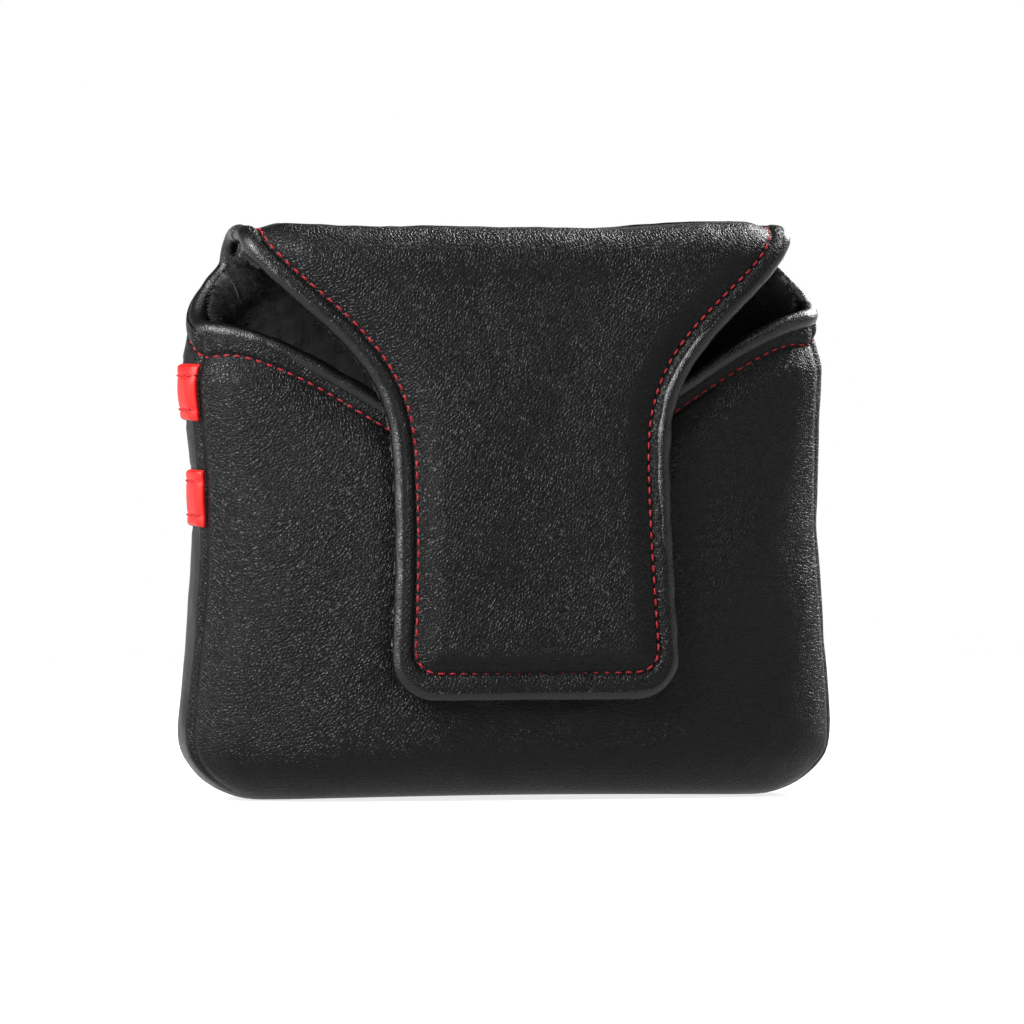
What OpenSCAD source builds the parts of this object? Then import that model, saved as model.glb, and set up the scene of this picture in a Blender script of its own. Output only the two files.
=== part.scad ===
// Padded cover for a square mallet putter head: a two-panel pouch, open at the top and rear, with a
// T-shaped flap that folds over the opening and is held down on the rear panel by magnets.
// +Z is up, -Y is the striped front, +Y is the flap side, and the underside rests on z = 0.

/* [Pouch] */
// Width across the fullest part, just above the underside
body_w = 140; // [132:1:150]
// Height from the underside to the top of the flap
body_h = 122; // [118:1:130]
// Depth of the pouch at its fullest, without the flap
body_d = 44; // [42:1:50]
// Depth of the pouch just under the flap's folds
top_d = 27; // [26:1:30]
// How far each side draws in at its waist
waist = 2.3; // [0:0.1:4]
// Radius of the bottom corners, seen from the front
corner_r = 16; // [14:1:18]
// Radius from the underside into the front and rear faces
heel_r = 12; // [10:1:14]
// Height at which the bottom corners end
corner_h = 14; // [12:1:16]

/* [Mouth] */
// Height of the rear panel's edge at the sides
mouth_side_z = 102; // [100:1:104]
// Height of the rear panel's edge under the tongue
mouth_low_z = 73; // [70:1:84]
// Fall of the rear panel's edge towards +X, per millimetre
mouth_fall = 0.02; // [0:0.01:0.03]

/* [Flap] */
// Half width of the tongue at its waist
tongue_half = 28.3; // [26:0.1:32]
// Sideways shift of the tongue from the middle
tongue_shift = -1; // [-4:0.1:0]
// Height of the tongue's lower piping
tongue_low_z = 23.6; // [20:0.1:28]
// Half width of the flap where it crosses the top
flap_half = 58.5; // [57:0.5:59]
// Outer radius of the flap's two folds
fold_r = 7.5; // [7:0.1:8]
// Clearance between the flap and the rear panel
flap_gap = 0.8; // [0.6:0.1:2]

/* [Layers] */
// Thickness of the outer leather
leather_t = 1; // [0.8:0.1:1.2]
// Thickness of the foam padding
foam_t = 2.4; // [2.2:0.1:2.6]
// Thickness of the plush lining
plush_t = 2.8; // [2:0.1:3]

/* [Trim] */
// Outer diameter of the leather piping
pipe_d = 3; // [2.6:0.1:3.2]
// Width of each stripe
stripe_w = 12; // [8:0.5:14]
// Thickness of each stripe
stripe_t = 0.8; // [0.6:0.05:1]
// Diameter of the sewing thread
thread_d = 0.6; // [0.5:0.05:0.7]

/* [Magnets] */
// Diameter of the closure magnets
magnet_d = 14; // [10:1:15]
// Thickness of the closure magnets
magnet_t = 1.2; // [1:0.1:1.3]
// Half the distance between the two closure magnets
magnet_half = 14; // [11:0.5:15]
// Height of the closure magnets
magnet_z = 42; // [38:1:50]

/* [Hidden] */
// Exponent of the rounded cross-section: 2 is an ellipse, more is squarer
squareness = 2.7;
// Thickness of leather, foam and plush together
wall_t = leather_t + foam_t + plush_t;
// Moves the pouch forward, so that pouch and flap together are centred on y = 0
y_shift = -(flap_gap + wall_t - stripe_t) / 2;
// Least gap between solids that move apart
motion_gap = 0.3;
// Height of both fold lines, where the hinge axes lie
fold_z = body_h - fold_r;
// Angle round the pouch of the side seams, from +X towards the rear
seam_u = 12;
// Angle round the pouch of the front corners of the mouth
ear_u = -26;
// Further drop of the front and rear panels' edges, which are straight between their columns
front_gap = 0.5;
rear_gap = 0.1;
// How far round from the mouth's corners the front panel's edge is lowered
ear_reach = 8;
// Heights between which the sides spread again above the waist
waist_low = 16;
waist_high = 100;
// How much narrower the pouch is at the mouth than at the underside
mouth_in = 1.5;
// How much more each side comes in from the mouth up to the top of the flap
shoulder_in = 10;
// Sharpness of the shoulders
shoulder_power = 2.2;
// Height above which the pouch thins from body_d to top_d
taper_low = 25;
// Half width of the mouth's dip under the tongue
dip_half = 72;
// Depth of the piping's centre under the outer surface
pipe_sink = 1.3;
// Distance from the piping's centre to the edges of the layers beside it
pipe_clear = pipe_d / 2 + 0.1;
// Radius of the filler cord inside the piping
cord_r = pipe_d / 2 - 0.6;
// Distances from the piping's centre to its row of topstitching, at the sides and at the tongue's end
stitch_in = 2.6;
stitch_end_in = 3.4;
stitch_mouth_in = 3.2;
// Height of a thread's or a stripe's underside over the surface it is sewn to
seat = 0.12;
// Radius of the tongue's lower corners, at the piping's centre
tongue_corner = 8;
// Height above which the tongue flares out to the flap's full width
flare_z = 66;
// Sharpness of the flare
flare_power = 1.75;
// Spread of the tongue towards its lower end
tongue_spread = 1.7;
// Angle behind the -X side at which the stripes start; at +X they end at the seam
stripe_start_u = 3;
// Distance of the stripes' stitching rows from the stripe's middle, as a share of its half width
row_share = 0.6;
// Height, slope and bend of each stripe's middle line
upper_line = [71, 0.34, -0.00142];
lower_line = [46.9, 0.342, -0.00115];
// Clearance round a magnet in its pocket
pocket_gap = 0.05;
// Number of steps round each panel, along each wall and along each pipe
climb_steps = 9;
front_steps = 19;
rear_steps = 26;
stripe_steps = 34;
wall_steps = 8;
arc_steps = 4;
flap_cols = 14;
pipe_sides = 8;
thread_sides = 4;

black = [0.09, 0.09, 0.1];
gloss_black = [0.05, 0.05, 0.055];
plush_black = [0.03, 0.03, 0.03];
foam_grey = [0.55, 0.55, 0.56];
cord_white = [0.85, 0.85, 0.82];
red = [0.9, 0.2, 0.17];
thread_red = [0.65, 0.1, 0.14];
steel = [0.7, 0.71, 0.73];

// ---- Plain helpers ----

function mix(a, b, share) = a + (b - a) * share;
function clamp01(v) = min(1, max(0, v));
function ease(v) = clamp01(v) * clamp01(v) * (3 - 2 * clamp01(v));
function signed_power(v, e) = sign(v) * pow(abs(v), e);
function steps(low, high, count) = [for (i = [0:count]) mix(low, high, i / count)];
function flat_list(rows) = [for (row = rows) for (item = row) item];

// ---- The pouch's outer surface ----

function ring_x(u) = signed_power(cos(u), 2 / squareness);
function ring_y(u) = signed_power(sin(u), 2 / squareness);

// Half width at height z: full at the bottom, drawn in at the waist, narrow again at the shoulders
function half_w(z) =
    let (share = clamp01((z - waist_low) / (waist_high - waist_low)))
    let (shoulder = max(0, (z - waist_high) / (body_h - waist_high)))
    body_w / 2 - waist * sin(180 * share) - mouth_in * share - shoulder_in * pow(shoulder, shoulder_power);

// Half depth at height z
function half_d(z) = mix(body_d, top_d, ease((z - taper_low) / (body_h - taper_low))) / 2;

// A point at angle u and height z, at this depth under the outer surface
function skin(u, z, depth) = [
    (half_w(z) - depth) * ring_x(u),
    (half_d(z) - depth) * ring_y(u) + y_shift,
    z
];

// How far the rear face, or the front face mirrored, stands out at x and z
function face_y(x, z) =
    half_d(z) * pow(max(0, 1 - pow(abs(x) / half_w(z), squareness)), 1 / squareness);

// A point on the whole wall: v from 0 to 1 crosses the underside, to 2 the bottom corner, to 3 the side
function wall_point(u, v, depth, top_z) =
    v <= 1 ? mix(base_middle(depth), base_edge(u, depth), v)
    : v <= 2 ? corner_point(u, 90 * (v - 1), depth)
    : skin(u, mix(corner_h, top_z, v - 2), depth);

function base_middle(depth) = [0, (body_d / 2 - heel_r) * ring_y(seam_u) + y_shift, depth];
function base_edge(u, depth) = corner_point(u, 0, depth);
function corner_point(u, angle, depth) = [
    (body_w / 2 - corner_r + (corner_r - depth) * sin(angle)) * ring_x(u),
    (body_d / 2 - heel_r + (heel_r - depth) * sin(angle)) * ring_y(u) + y_shift,
    corner_h - (corner_h - depth) * cos(angle)
];

// ---- The mouth's edge, at the piping's centre ----

function mouth_z(x) =
    mix(mouth_low_z, mouth_side_z, pow(sin(90 * clamp01(abs(x - tongue_shift) / dip_half)), 2))
    - mouth_fall * x;

// Angle from the nearer side, so that both sides read alike: 0 at the side, 90 at the rear's middle
function from_side(u) = cos(u) >= 0 ? asin(sin(u)) : asin(sin(180 - u));

function seam_z(u) = mouth_z(sign(cos(u)) * half_w(mouth_side_z));

function edge_z(u) =
    let (side_u = from_side(u))
    side_u >= seam_u ? mouth_z(half_w(mouth_side_z) * ring_x(u))
    : mix(fold_z - motion_gap, seam_z(u), sin(90 * clamp01((side_u - ear_u) / (seam_u - ear_u))));

// Drop that leaves pipe_clear square to the mouth's edge where it slopes
function edge_clear(u) =
    let (near_u = from_side(u) > ear_u + 1 ? u : cos(u) >= 0 ? ear_u + 1 : 179 - ear_u)
    let (before = skin(near_u - 1, fold_z, 0))
    let (after = skin(near_u + 1, fold_z, 0))
    let (slope = (edge_z(near_u + 1) - edge_z(near_u - 1)) / norm(after - before))
    pipe_clear * sqrt(1 + slope * slope);

// Upper edge of the front panel: the fold line, lowered under the piping at the mouth's corners
function front_top_z(u) = from_side(u) < ear_u - ear_reach ? fold_z : edge_z(u) - edge_clear(u) - front_gap;
function rear_top_z(u) = edge_z(u) - edge_clear(u) - rear_gap;

// ---- The flap ----

// Piping centre's place across the flap at height z, on the side that way is 1 for +X and -1 for -X
function flap_line_x(way, z) =
    let (flare = ease(pow(clamp01((z - flare_z) / (body_h - flare_z)), flare_power)))
    let (spread = tongue_spread * pow(clamp01((flare_z - z) / (flare_z - tongue_low_z)), 2))
    mix(tongue_shift + way * (tongue_half + spread), way * flap_half, flare);

// The same moved in by inset, square to the line
function flap_edge_x(way, z, inset) =
    let (slope = flap_line_x(way, z + 0.5) - flap_line_x(way, z - 0.5))
    flap_line_x(way, z) - way * inset * sqrt(1 + slope * slope);

// The same with the tongue's lower corners rounded, moved in by inset at the sides and end_inset below
function tongue_edge_x(way, z, inset, end_inset) =
    let (r = tongue_corner - inset)
    let (below = max(0, tongue_low_z + end_inset + r - z))
    flap_edge_x(way, z, inset) - way * (r - sqrt(max(0, r * r - below * below)));

// Height on the bridge's profile: s from 0 to 1 is the front fold, to 2 the top, to 3 the rear fold
function bridge_z(s, depth) =
    fold_z + (fold_r - depth) * (s <= 1 ? sin(90 * s) : s <= 2 ? 1 : cos(90 * (s - 2)));

// Outward place of the mouth's front corners, where the bridge's piping meets the mouth's
ear_x = (half_w(fold_z) - pipe_sink) * ring_x(ear_u);
function bridge_edge_x(way, s, inset) =
    s <= 1 ? mix(way * (ear_x - inset), flap_edge_x(way, body_h, inset), sin(90 * s))
    : flap_edge_x(way, bridge_z(s, 0), inset);

function bridge_point(x, s, depth) =
    let (front_y = fold_r - face_y(x, fold_z))
    let (rear_y = face_y(x, fold_z) + flap_gap + wall_t - fold_r)
    let (y = s <= 1 ? front_y - (fold_r - depth) * cos(90 * s)
        : s <= 2 ? mix(front_y, rear_y, s - 1)
        : rear_y + (fold_r - depth) * sin(90 * (s - 2)))
    [x, y + y_shift, bridge_z(s, depth)];

function tongue_point(x, z, depth) = [x, face_y(x, z) + flap_gap + wall_t - depth + y_shift, z];

// Profile steps of the bridge, clear of the fold lines by the motion gap
bridge_low_s = asin(motion_gap / fold_r) / 90;
bridge_steps = concat(
    steps(bridge_low_s, 1, 4),
    [1.5],
    steps(2, 3 - bridge_low_s, 4)
);

// Heights of the tongue's rows between its top and its end, closer together round the lower corners
tongue_top_z = fold_z - motion_gap;
function tongue_rows(inset, end_inset) =
    let (low = tongue_low_z + end_inset)
    let (r = tongue_corner - inset)
    concat(
        steps(tongue_top_z, low + r, 12),
        [for (angle = [22.5:22.5:90]) low + r * (1 - sin(angle))]
    );

// ---- Solids from rows of points ----

// A closed sheet between two grids of points; with pole, each grid's first row is one single point
module sheet(outer, inner, pole = false) {
    rows = len(outer);
    cols = len(outer[0]);
    layer = rows * cols;
    cells = [for (r = [0:rows - 2]) for (c = [0:cols - 2]) [r, c]];
    outer_faces = flat_list([
        for (cell = cells) cell_faces(cell[0] * cols + cell[1], cols, pole && cell[0] == 0)
    ]);
    inner_faces = [for (face = outer_faces) [face[0] + layer, face[2] + layer, face[1] + layer]];
    side_faces = flat_list([
        for (r = [0:rows - 2]) concat(
            rim_faces((r + 1) * cols, r * cols, layer),
            rim_faces((r + 1) * cols - 1, (r + 2) * cols - 1, layer)
        )
    ]);
    end_faces = flat_list([
        for (c = [0:cols - 2]) concat(
            pole ? [] : rim_faces(c, c + 1, layer),
            rim_faces((rows - 1) * cols + c + 1, (rows - 1) * cols + c, layer)
        )
    ]);
    polyhedron(
        points = concat(flat_list(outer), flat_list(inner)),
        faces = concat(outer_faces, inner_faces, side_faces, end_faces),
        convexity = 10
    );
}

function cell_faces(i, cols, at_pole) = at_pole
    ? [[i, i + cols, i + cols + 1]]
    : [[i, i + cols, i + cols + 1], [i, i + cols + 1, i + 1]];

function rim_faces(a, b, layer) = [[a, b, b + layer], [a, b + layer, a + layer]];

// A tube along a path; hole_r of 0 makes it solid, and level cuts its ends level
module sweep(path, r, hole_r, sides, level) {
    count = len(path);
    outer = [for (i = [0:count - 1]) ring_at(path, i, r, sides, level)];
    inner = [for (i = [0:count - 1]) ring_at(path, i, hole_r, sides, level)];
    layer = count * sides;
    outer_faces = flat_list([for (i = [0:count - 2]) band_faces(i * sides, sides)]);
    polyhedron(
        points = concat(flat_list(outer), hole_r > 0 ? flat_list(inner) : [path[0], path[count - 1]]),
        faces = hole_r > 0
            ? concat(
                outer_faces,
                [for (face = outer_faces) [face[0] + layer, face[2] + layer, face[1] + layer]],
                washer_faces(0, layer, sides, true),
                washer_faces(layer - sides, layer, sides, false)
            )
            : concat(
                outer_faces,
                cap_faces(0, layer, sides, true),
                cap_faces(layer - sides, layer + 1, sides, false)
            ),
        convexity = 10
    );
}

function unit(v) = v / norm(v);
// Direction of the path at point i; both ends are cut level, in the plane of the fold lines
function heading(path, i, level) =
    let (last = len(path) - 1)
    let (way = unit(path[min(i + 1, last)] - path[max(i - 1, 0)]))
    level && (i == 0 || i == last) ? [0, 0, sign(way[2])] : way;
// Outward from the object's upright axis, square to the path
function ring_normal(way, p) =
    let (out = [p[0] * 0.3, p[1] - y_shift, 0.02])
    unit(out - way * (out * way));
function ring_at(path, i, r, sides, level) =
    let (way = heading(path, i, level))
    let (up = ring_normal(way, path[i]))
    let (across = cross(way, up))
    [for (k = [0:sides - 1]) path[i] + r * (cos(360 * k / sides) * up + sin(360 * k / sides) * across)];
function next_side(k, sides) = (k + 1) % sides;
function band_faces(first, sides) = flat_list([
    for (k = [0:sides - 1])
        let (a = first + k, b = first + next_side(k, sides))
        [[a, a + sides, b + sides], [a, b + sides, b]]
]);
function washer_faces(first, layer, sides, start) = flat_list([
    for (k = [0:sides - 1])
        let (a = first + k, b = first + next_side(k, sides))
        start ? rim_faces(a, b, layer) : rim_faces(b, a, layer)
]);
function cap_faces(first, middle, sides, start) = [
    for (k = [0:sides - 1])
        let (a = first + k, b = first + next_side(k, sides))
        start ? [a, b, middle] : [b, a, middle]
];

// ---- Panels, padding and lining ----

wall_rows = concat([0], steps(1, 2, arc_steps), steps(2 + 1 / wall_steps, 3, wall_steps - 1));

// Columns of the front, closer together where the mouth's edge climbs to its corners
climb_u = -ear_u + ear_reach;
front_u = concat(
    steps(180 - seam_u, 180 + climb_u, climb_steps),
    steps(180 + climb_u + 0.5, 360 - climb_u - 0.5, front_steps),
    steps(360 - climb_u, 360 + seam_u, climb_steps)
);
rear_u = steps(seam_u, 180 - seam_u, rear_steps);

function front_grid(depth) =
    [for (v = wall_rows) [for (u = front_u) wall_point(u, v, depth, front_top_z(u))]];
function rear_grid(depth) =
    [for (v = wall_rows) [for (u = rear_u) wall_point(u, v, depth, rear_top_z(u))]];
function bridge_grid(depth) = [
    for (s = bridge_steps)
        [for (share = steps(0, 1, flap_cols)) bridge_point(
            mix(bridge_edge_x(-1, s, pipe_clear), bridge_edge_x(1, s, pipe_clear), share), s, depth)]
];
function tongue_grid(depth) = [
    for (z = tongue_rows(pipe_clear, pipe_clear))
        [for (share = steps(0, 1, flap_cols)) tongue_point(
            mix(tongue_edge_x(-1, z, pipe_clear, pipe_clear),
                tongue_edge_x(1, z, pipe_clear, pipe_clear), share), z, depth)]
];

foam_in = leather_t;
plush_in = leather_t + foam_t;

module front_layer(depth, thickness) sheet(front_grid(depth), front_grid(depth + thickness), true);
module rear_layer(depth, thickness) sheet(rear_grid(depth), rear_grid(depth + thickness), true);
module bridge_layer(depth, thickness) sheet(bridge_grid(depth), bridge_grid(depth + thickness));
module tongue_layer(depth, thickness) sheet(tongue_grid(depth), tongue_grid(depth + thickness));

module front_panel() color(black) front_layer(0, leather_t);
module rear_panel() color(black) rear_layer(0, leather_t);
module flap_bridge_panel() color(black) bridge_layer(0, leather_t);
module flap_tongue_panel() color(black) tongue_layer(0, leather_t);

module front_padding() color(foam_grey) front_layer(foam_in, foam_t);
module rear_padding() color(foam_grey) difference() {
    rear_layer(foam_in, foam_t);
    for (way = [-1, 1]) rear_magnet_place(way) magnet_disc(pocket_gap);
}
module flap_bridge_padding() color(foam_grey) bridge_layer(foam_in, foam_t);
module flap_tongue_padding() color(foam_grey) difference() {
    tongue_layer(foam_in, foam_t);
    for (way = [-1, 1]) tongue_magnet_place(way) magnet_disc(pocket_gap);
}

module front_lining() color(plush_black) front_layer(plush_in, plush_t);
module rear_lining() color(plush_black) rear_layer(plush_in, plush_t);
module flap_bridge_lining() color(plush_black) bridge_layer(plush_in, plush_t);
module flap_tongue_lining() color(plush_black) tongue_layer(plush_in, plush_t);

// ---- Stripes ----

function line_z(line, x) = line[0] + line[1] * x + line[2] * x * x;
function stripe_row(line, across, depth) = [
    for (u = steps(180 - stripe_start_u, 360 + seam_u, stripe_steps))
        let (x = half_w(line[0]) * ring_x(u))
        let (slope = line[1] + 2 * line[2] * x)
        skin(u, line_z(line, x) + across * stripe_w / 2 * sqrt(1 + slope * slope), depth)
];
function stripe_grid(line, depth) = [for (across = [-1, 0, 1]) stripe_row(line, across, depth)];
module stripe(line) sheet(stripe_grid(line, -seat - stripe_t), stripe_grid(line, -seat));
module upper_stripe() color(red) stripe(upper_line);
module lower_stripe() color(red) stripe(lower_line);

// ---- Piping, its filler cord and the topstitching beside it ----

// Ear, rear edge and ear again: from the mouth's front corner at +X to the one at -X
function mouth_path(drop, depth) = [
    for (u = concat(
        steps(ear_u, seam_u, 6),
        steps(seam_u + 5, 175 - seam_u, 22),
        steps(180 - seam_u, 180 - ear_u, 6)
    )) skin(u, edge_z(u) - drop, depth)
];

function bridge_path(way, inset, depth) =
    [for (s = bridge_steps) bridge_point(bridge_edge_x(way, s, inset), s, depth)];

// Down the tongue's +X side, round its end and up its -X side
function tongue_path(inset, end_inset, depth) =
    let (down = tongue_rows(inset, end_inset))
    let (count = len(down))
    concat(
        [for (z = down) tongue_point(tongue_edge_x(1, z, inset, end_inset), z, depth)],
        [for (share = [0.25, 0.5, 0.75]) tongue_point(
            mix(tongue_edge_x(1, down[count - 1], inset, end_inset),
                tongue_edge_x(-1, down[count - 1], inset, end_inset), share),
            down[count - 1], depth)],
        [for (i = [count - 1:-1:0])
            tongue_point(tongue_edge_x(-1, down[i], inset, end_inset), down[i], depth)]
    );

module pipe_cover(path) color(gloss_black) sweep(path, pipe_d / 2, cord_r + 0.02, pipe_sides, true);
module pipe_cord(path) color(cord_white) sweep(path, cord_r, 0, pipe_sides, true);
module thread(path, level = true) color(thread_red) sweep(path, thread_d / 2, 0, thread_sides, level);

thread_rise = -seat - thread_d / 2;

module mouth_piping() pipe_cover(mouth_path(0, pipe_sink));
module mouth_piping_cord() pipe_cord(mouth_path(0, pipe_sink));
module flap_bridge_piping_left() pipe_cover(bridge_path(-1, 0, pipe_sink));
module flap_bridge_piping_right() pipe_cover(bridge_path(1, 0, pipe_sink));
module flap_bridge_piping_cord_left() pipe_cord(bridge_path(-1, 0, pipe_sink));
module flap_bridge_piping_cord_right() pipe_cord(bridge_path(1, 0, pipe_sink));
module tongue_piping() pipe_cover(tongue_path(0, 0, pipe_sink));
module tongue_piping_cord() pipe_cord(tongue_path(0, 0, pipe_sink));

module mouth_topstitch() thread(mouth_path(stitch_mouth_in, thread_rise));
module flap_bridge_topstitch_left() thread(bridge_path(-1, stitch_in, thread_rise));
module flap_bridge_topstitch_right() thread(bridge_path(1, stitch_in, thread_rise));
module tongue_topstitch() thread(tongue_path(stitch_in, stitch_end_in, thread_rise));

module stripe_stitching(line)
    for (across = [-row_share, row_share])
        thread(stripe_row(line, across, thread_rise - seat - stripe_t), false);
module upper_stripe_stitching() stripe_stitching(upper_line);
module lower_stripe_stitching() stripe_stitching(lower_line);

// ---- Closure magnets ----

// Tilt of the rear face at the magnets, from upright
face_tilt = atan((face_y(0, magnet_z - 5) - face_y(0, magnet_z + 5)) / 10);

module magnet_disc(gap)
    rotate([90, 0, 0]) cylinder(h = magnet_t + 2 * gap, r = magnet_d / 2 + gap, center = true, $fn = 48);
module magnet_place(way, y)
    translate([tongue_shift + way * magnet_half, y + y_shift, magnet_z]) rotate([face_tilt, 0, 0]) children();
module rear_magnet_place(way)
    magnet_place(way, face_y(tongue_shift + way * magnet_half, magnet_z) - foam_in - foam_t / 2) children();
module tongue_magnet_place(way)
    magnet_place(way, face_y(tongue_shift + way * magnet_half, magnet_z)
        + flap_gap + wall_t - foam_in - foam_t / 2) children();

module rear_magnet_left() color(steel) rear_magnet_place(-1) magnet_disc(0);
module rear_magnet_right() color(steel) rear_magnet_place(1) magnet_disc(0);
module tongue_magnet_left() color(steel) tongue_magnet_place(-1) magnet_disc(0);
module tongue_magnet_right() color(steel) tongue_magnet_place(1) magnet_disc(0);

front_panel();
rear_panel();
flap_bridge_panel();
flap_tongue_panel();
front_padding();
rear_padding();
flap_bridge_padding();
flap_tongue_padding();
front_lining();
rear_lining();
flap_bridge_lining();
flap_tongue_lining();
upper_stripe();
lower_stripe();
mouth_piping();
flap_bridge_piping_left();
flap_bridge_piping_right();
tongue_piping();
mouth_piping_cord();
flap_bridge_piping_cord_left();
flap_bridge_piping_cord_right();
tongue_piping_cord();
mouth_topstitch();
flap_bridge_topstitch_left();
flap_bridge_topstitch_right();
tongue_topstitch();
upper_stripe_stitching();
lower_stripe_stitching();
rear_magnet_left();
rear_magnet_right();
tongue_magnet_left();
tongue_magnet_right();
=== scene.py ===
"""Looks of a padded leather cover for a mallet putter head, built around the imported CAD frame.

Lengths are in millimetres until a mesh is made. +Z is up, -Y the striped front, +Y the flap side.
"""
import math

import bmesh
import bpy
import numpy as np
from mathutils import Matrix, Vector, kdtree


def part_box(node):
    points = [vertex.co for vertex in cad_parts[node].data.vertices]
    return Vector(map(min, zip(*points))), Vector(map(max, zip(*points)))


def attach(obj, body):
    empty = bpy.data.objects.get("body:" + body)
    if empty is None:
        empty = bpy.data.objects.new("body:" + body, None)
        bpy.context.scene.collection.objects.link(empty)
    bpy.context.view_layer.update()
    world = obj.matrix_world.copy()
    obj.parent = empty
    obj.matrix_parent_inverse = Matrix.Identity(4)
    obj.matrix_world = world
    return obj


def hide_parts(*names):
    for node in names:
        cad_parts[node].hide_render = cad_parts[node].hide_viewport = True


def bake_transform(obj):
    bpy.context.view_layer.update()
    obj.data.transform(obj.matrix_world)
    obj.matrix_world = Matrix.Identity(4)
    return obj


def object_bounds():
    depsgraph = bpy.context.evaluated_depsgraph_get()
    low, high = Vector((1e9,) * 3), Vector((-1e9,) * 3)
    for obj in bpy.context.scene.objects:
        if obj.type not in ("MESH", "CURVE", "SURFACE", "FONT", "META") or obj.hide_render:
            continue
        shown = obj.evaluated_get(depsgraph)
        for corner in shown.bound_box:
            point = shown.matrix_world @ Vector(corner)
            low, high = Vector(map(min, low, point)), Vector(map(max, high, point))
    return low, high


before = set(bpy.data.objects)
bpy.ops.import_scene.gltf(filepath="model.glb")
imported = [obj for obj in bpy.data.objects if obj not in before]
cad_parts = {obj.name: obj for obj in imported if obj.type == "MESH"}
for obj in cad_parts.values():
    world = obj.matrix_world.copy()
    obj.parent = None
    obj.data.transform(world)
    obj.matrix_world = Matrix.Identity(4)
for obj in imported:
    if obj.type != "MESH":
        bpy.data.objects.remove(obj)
cad_low, cad_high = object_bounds()
MM = 0.001
random = np.random.default_rng(7)


def node_box(name):
    low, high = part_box(name)
    return np.array(low) / MM, np.array(high) / MM


# ---- Sizes read from the frame ----
front_low, front_high = node_box("front_panel")
rear_high = node_box("rear_panel")[1]
BODY_W = front_high[0] - front_low[0]
BODY_D = rear_high[1] - front_low[1]
BODY_H = node_box("flap_bridge_panel")[1][2]
FOLD_Z = front_high[2]
FOLD_R = BODY_H - FOLD_Z
SHIFT_Y = (rear_high[1] + front_low[1]) / 2
magnets = [node_box("tongue_magnet_left"), node_box("tongue_magnet_right")]
TONGUE_X = sum(low[0] + high[0] for low, high in magnets) / 4
PIPE_R = 1.5
TONGUE_END_Z = node_box("tongue_piping")[0][2] + PIPE_R

# ---- Shape of the pouch, with the CAD's own sizes ----
SQUARENESS = 2.7  # power of the outline seen from above
TOP_D = 27.0
WAIST, WAIST_LOW, WAIST_HIGH = 2.3, 16.0, 100.0
MOUTH_IN, SHOULDER_IN, SHOULDER_POWER = 1.5, 10.0, 2.2
CORNER_R, HEEL_R, CORNER_H, TAPER_LOW = 16.0, 12.0, 14.0, 25.0
SEAM_U, EAR_U = 12.0, -26.0  # degrees round the outline, from +X towards the rear
MOUTH_SIDE_Z, MOUTH_LOW_Z, MOUTH_FALL, DIP_HALF = 102.0, 73.0, 0.02, 72.0
TONGUE_HALF, TONGUE_SPREAD, TONGUE_CORNER = 28.3, 1.7, 8.0
FLAP_HALF, FLARE_Z, FLARE_POWER = 58.5, 66.0, 1.75
LEATHER_T, FOAM_T, PLUSH_T = 1.0, 2.4, 2.8
WALL_T = LEATHER_T + FOAM_T + PLUSH_T
FLAP_GAP = 0.8
PIPE_SINK = 1.3
STRIPE_W, STRIPE_T = 12.0, 0.8
# Each stripe's middle height is level + slope * x + bend * x * x
STRIPE_LINES = {"upper": (71.0, 0.34, -0.00142), "lower": (46.9, 0.342, -0.00115)}


def mix(a, b, share):
    return a + (b - a) * share


def clamp01(v):
    return np.clip(v, 0.0, 1.0)


def ease(v):
    v = clamp01(v)
    return v * v * (3 - 2 * v)


def bump(v, centre, width):
    return np.exp(-(((v - centre) / width) ** 2))


def unit(v):
    return v / np.linalg.norm(v, axis=-1, keepdims=True)


def ring_x(u):
    """Across the outline, from -1 to 1, at angle u; ring_y is the same along its depth."""
    c = np.cos(np.radians(u))
    return np.sign(c) * np.abs(c) ** (2 / SQUARENESS)


def ring_y(u):
    s = np.sin(np.radians(u))
    return np.sign(s) * np.abs(s) ** (2 / SQUARENESS)


def half_w(z):
    share = clamp01((z - WAIST_LOW) / (WAIST_HIGH - WAIST_LOW))
    shoulder = np.maximum(0, (z - WAIST_HIGH) / (BODY_H - WAIST_HIGH))
    drawn_in = WAIST * np.sin(np.pi * share) + MOUTH_IN * share
    return BODY_W / 2 - drawn_in - SHOULDER_IN * shoulder**SHOULDER_POWER


def half_d(z):
    return mix(BODY_D, TOP_D, ease((z - TAPER_LOW) / (BODY_H - TAPER_LOW))) / 2


def face_y(x, z):
    inside = np.maximum(0, 1 - (np.abs(x) / half_w(z)) ** SQUARENESS)
    return half_d(z) * inside ** (1 / SQUARENESS)


def points(x, y, z):
    return np.stack(np.broadcast_arrays(x, y, z), axis=-1).astype(float)


def skin(u, z, depth=0.0):
    """A point of the pouch's wall, or at a depth inside it."""
    x = (half_w(z) - depth) * ring_x(u)
    y = (half_d(z) - depth) * ring_y(u) + SHIFT_Y
    return points(x, y, z)


BASE_Y = (BODY_D / 2 - HEEL_R) * ring_y(SEAM_U) + SHIFT_Y


def corner_point(u, angle):
    """A point of the rounded bottom corner, from 0 at the underside to 90 at the wall."""
    s, c = np.sin(np.radians(angle)), np.cos(np.radians(angle))
    x = (BODY_W / 2 - CORNER_R + CORNER_R * s) * ring_x(u)
    y = (BODY_D / 2 - HEEL_R + HEEL_R * s) * ring_y(u) + SHIFT_Y
    return points(x, y, CORNER_H - CORNER_H * c)


def mouth_z(x):
    """Height of the rear panel's dipped upper edge."""
    dip = np.sin(np.pi / 2 * clamp01(np.abs(x - TONGUE_X) / DIP_HALF)) ** 2
    return mix(MOUTH_LOW_Z, MOUTH_SIDE_Z, dip) - MOUTH_FALL * x


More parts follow.
